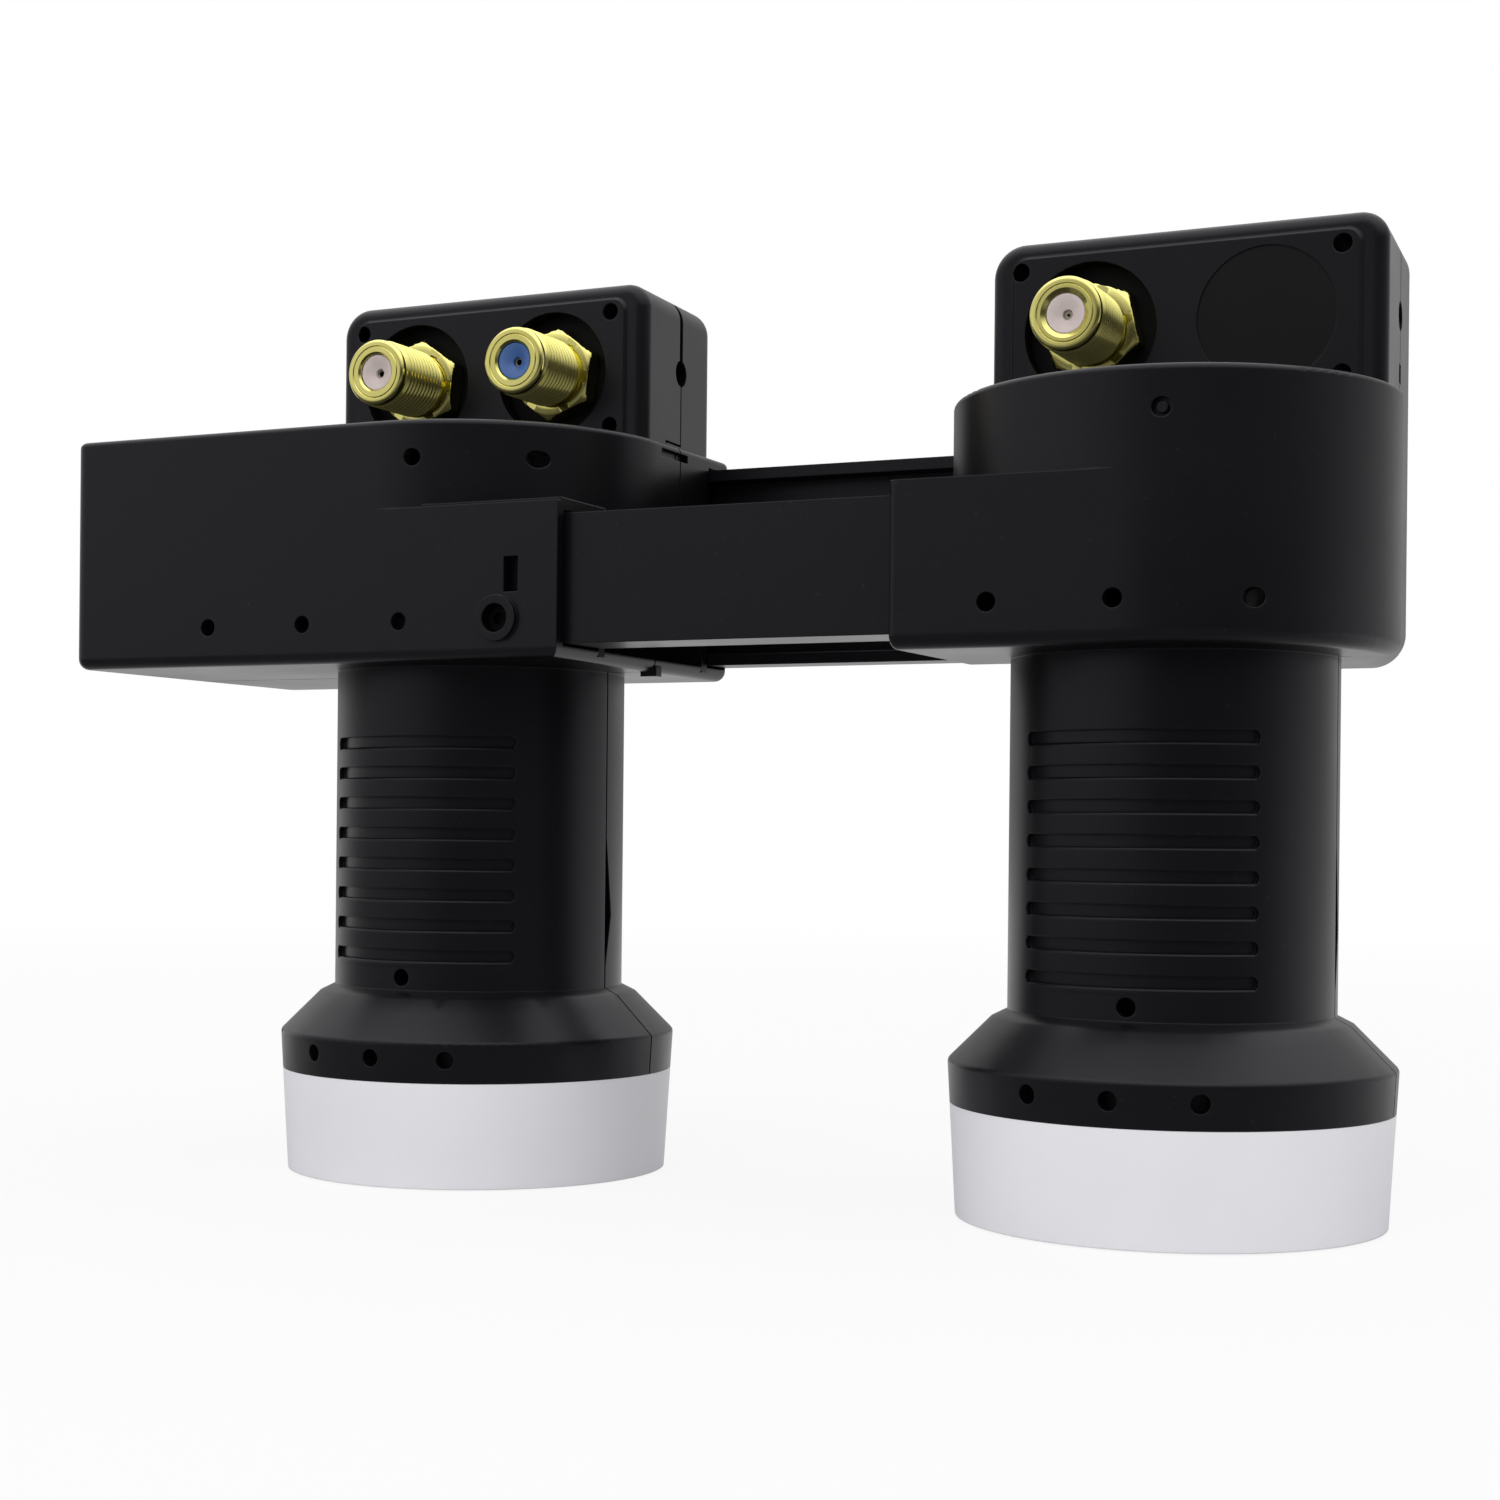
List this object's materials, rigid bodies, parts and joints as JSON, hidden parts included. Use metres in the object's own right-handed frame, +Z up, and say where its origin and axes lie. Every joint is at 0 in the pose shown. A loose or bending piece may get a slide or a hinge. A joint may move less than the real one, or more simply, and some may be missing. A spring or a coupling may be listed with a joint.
{
  "type": "adjustable twin satellite lnb",
  "caption": "Satellite dish receiver with paired ribbed feed horns on a telescoping bridge, pale feed caps and threaded coaxial outlets on raised boxes.",
  "frame": {"origin": "on the ground under the middle of the part, which stands on its feed caps", "axes": "+X along the bridge from the two-outlet unit to the one-outlet unit, -Y the side the outlets face, +Z up from the caps"},
  "size_m": [0.1762, 0.0553, 0.1218],
  "materials": {
    "black_plastic": "satin moulded",
    "cap_plastic": "pale satin moulded",
    "seal_rubber": "black rubber",
    "cast_metal": "die cast",
    "board": "green laminate",
    "shield_metal": "tinned sheet",
    "screw_steel": "zinc plated",
    "black_steel": "blackened steel",
    "plated_brass": "bright gold plating",
    "contact_metal": "plated spring contact",
    "pale_insulator": "pale plastic",
    "blue_insulator": "blue plastic"
  },
  "bodies": {
    "left_unit": {"left_front_shell": "black_plastic", "left_rear_shell": "black_plastic", "left_feed_cap": "cap_plastic", "left_cap_seal": "seal_rubber", "left_cast_body": "cast_metal", "left_circuit_board": "board", "left_shield_plate": "shield_metal", "left_shell_screws": "screw_steel", "left_outlet_a_body": "plated_brass", "left_outlet_a_insulator": "pale_insulator", "left_outlet_a_contact": "contact_metal", "left_outlet_b_body": "plated_brass", "left_outlet_b_insulator": "blue_insulator", "left_outlet_b_contact": "contact_metal", "lock_screw": "black_steel"},
    "right_unit": {"right_front_shell": "black_plastic", "right_rear_shell": "black_plastic", "right_feed_cap": "cap_plastic", "right_cap_seal": "seal_rubber", "right_cast_body": "cast_metal", "right_circuit_board": "board", "right_shield_plate": "shield_metal", "right_shell_screws": "screw_steel", "right_outlet_body": "plated_brass", "right_outlet_insulator": "pale_insulator", "right_outlet_contact": "contact_metal", "front_slide_rail": "black_plastic", "rear_slide_rail": "black_plastic"}
  },
  "joints": [
    {"name": "bridge_slide", "type": "slide", "parent": "left_unit", "child": "right_unit", "axis": [1, 0, 0], "range_m": [-0.042, 0.012]}
  ]
}
